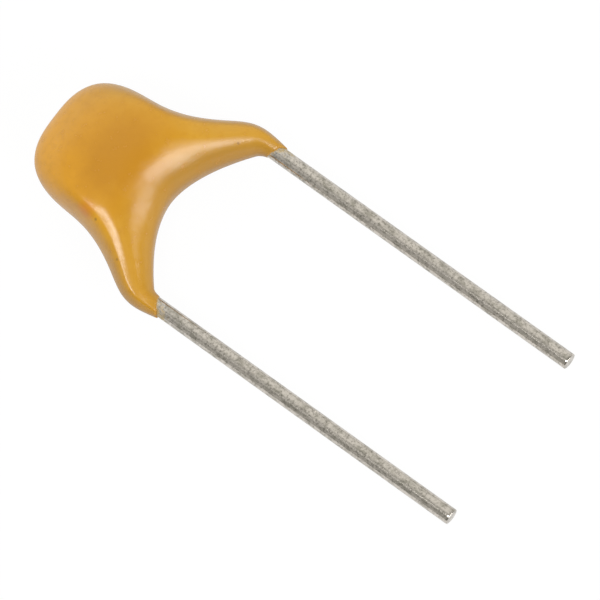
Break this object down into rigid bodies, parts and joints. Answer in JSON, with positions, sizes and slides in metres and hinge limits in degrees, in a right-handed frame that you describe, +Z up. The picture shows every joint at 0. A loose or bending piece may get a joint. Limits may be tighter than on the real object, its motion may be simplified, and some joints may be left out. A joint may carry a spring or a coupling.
{
  "type": "multilayer ceramic capacitor",
  "caption": "Radial-lead multilayer ceramic capacitor: a chip in a glossy ochre epoxy dip with splayed legs and straight tinned wire leads, lying on its belly.",
  "frame": {"origin": "on the surface that the part lies on, below the middle of its box", "axes": "+X from the left lead to the right lead, +Y from the lead tips towards the head, +Z up from the surface; the leads lean 4.7 degrees down towards their tips"},
  "size_m": [0.0058, 0.0148, 0.0026],
  "materials": {
    "epoxy": "gloss",
    "ceramic": "matte",
    "electrode": "satin",
    "termination": "satin",
    "solder": "satin",
    "tinned_wire": "satin"
  },
  "bodies": {
    "root": {"epoxy_coating": "epoxy", "ceramic_block": "ceramic", "electrode_left_1": "electrode", "electrode_left_2": "electrode", "electrode_left_3": "electrode", "electrode_left_4": "electrode", "electrode_left_5": "electrode", "electrode_left_6": "electrode", "electrode_left_7": "electrode", "electrode_left_8": "electrode", "electrode_right_1": "electrode", "electrode_right_2": "electrode", "electrode_right_3": "electrode", "electrode_right_4": "electrode", "electrode_right_5": "electrode", "electrode_right_6": "electrode", "electrode_right_7": "electrode", "electrode_right_8": "electrode", "end_termination_left": "termination", "end_termination_right": "termination", "solder_joint_left": "solder", "solder_joint_right": "solder", "lead_wire_left": "tinned_wire", "lead_wire_right": "tinned_wire"}
  },
  "joints": []
}
